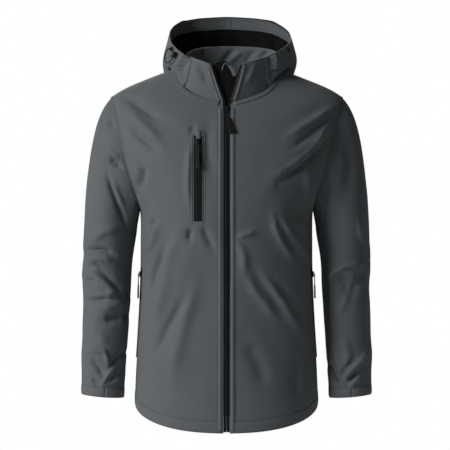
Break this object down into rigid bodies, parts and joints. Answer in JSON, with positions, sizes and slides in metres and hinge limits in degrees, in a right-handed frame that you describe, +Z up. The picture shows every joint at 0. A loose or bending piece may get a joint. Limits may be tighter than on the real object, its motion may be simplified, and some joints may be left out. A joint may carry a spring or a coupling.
{
  "type": "softshell jacket with a thrown-back hood",
  "caption": "Softshell jacket in the hollow shape it has when worn, with a standing collar, a thrown-back hood, a front zip, a chest pocket zip and hand pocket zips.",
  "frame": {"origin": "middle of the neck opening, at the height of the shoulder neck points, where the wearer's shoulders hold the jacket", "axes": "+Z up, the front faces -Y, +X to the wearer's left"},
  "size_m": [0.6102, 0.3543, 0.87],
  "materials": {
    "softshell": "matt bonded stretch weave, mid grey",
    "lining": "short black fleece",
    "zip_tape": "black woven zip tape with a moulded coil",
    "slider_metal": "black painted, satin",
    "pull_grip": "black moulded grip, matt",
    "cord": "black braided elastic cord"
  },
  "bodies": {
    "jacket": {"front_right": "softshell", "front_left": "softshell", "back": "softshell", "sleeve_right_upper": "softshell", "sleeve_right_under": "softshell", "sleeve_left_upper": "softshell", "sleeve_left_under": "softshell", "collar_outer": "softshell", "collar_inner": "softshell", "hood_right": "softshell", "hood_centre": "softshell", "hood_left": "softshell", "hood_facing": "softshell", "zip_tape_right": "zip_tape", "zip_tape_left": "zip_tape", "chest_tape": "zip_tape", "pocket_tape_right": "zip_tape", "pocket_tape_left": "zip_tape", "main_slider": "slider_metal", "chest_slider": "slider_metal", "pocket_slider_right": "slider_metal", "pocket_slider_left": "slider_metal", "hood_eyelet_right": "slider_metal", "wind_flap": "lining", "hood_stopper": "pull_grip", "hood_cord": "cord"},
    "main_pull": {"main_pull": "pull_grip"},
    "chest_pull": {"chest_pull": "pull_grip"},
    "pocket_pull_right": {"pocket_pull_right": "pull_grip"},
    "pocket_pull_left": {"pocket_pull_left": "pull_grip"}
  },
  "joints": [
    {"name": "main_pull_hinge", "type": "hinge", "parent": "jacket", "child": "main_pull", "pos_m": [0.00001, -0.10621, -0.09047], "axis": [-0.9816, -0.109, -0.1566], "range_deg": [0, 120]},
    {"name": "chest_pull_hinge", "type": "hinge", "parent": "jacket", "child": "chest_pull", "pos_m": [-0.0586, -0.13942, -0.16105], "axis": [-0.9958, 0.0765, -0.0502], "range_deg": [0, 150]},
    {"name": "pocket_pull_right_hinge", "type": "hinge", "parent": "jacket", "child": "pocket_pull_right", "pos_m": [-0.18243, -0.04449, -0.43189], "axis": [-0.2537, 0.9672, 0.0106], "range_deg": [0, 45]},
    {"name": "pocket_pull_left_hinge", "type": "hinge", "parent": "jacket", "child": "pocket_pull_left", "pos_m": [0.18243, -0.04449, -0.43189], "axis": [-0.2537, -0.9672, -0.0106], "range_deg": [0, 45]}
  ]
}
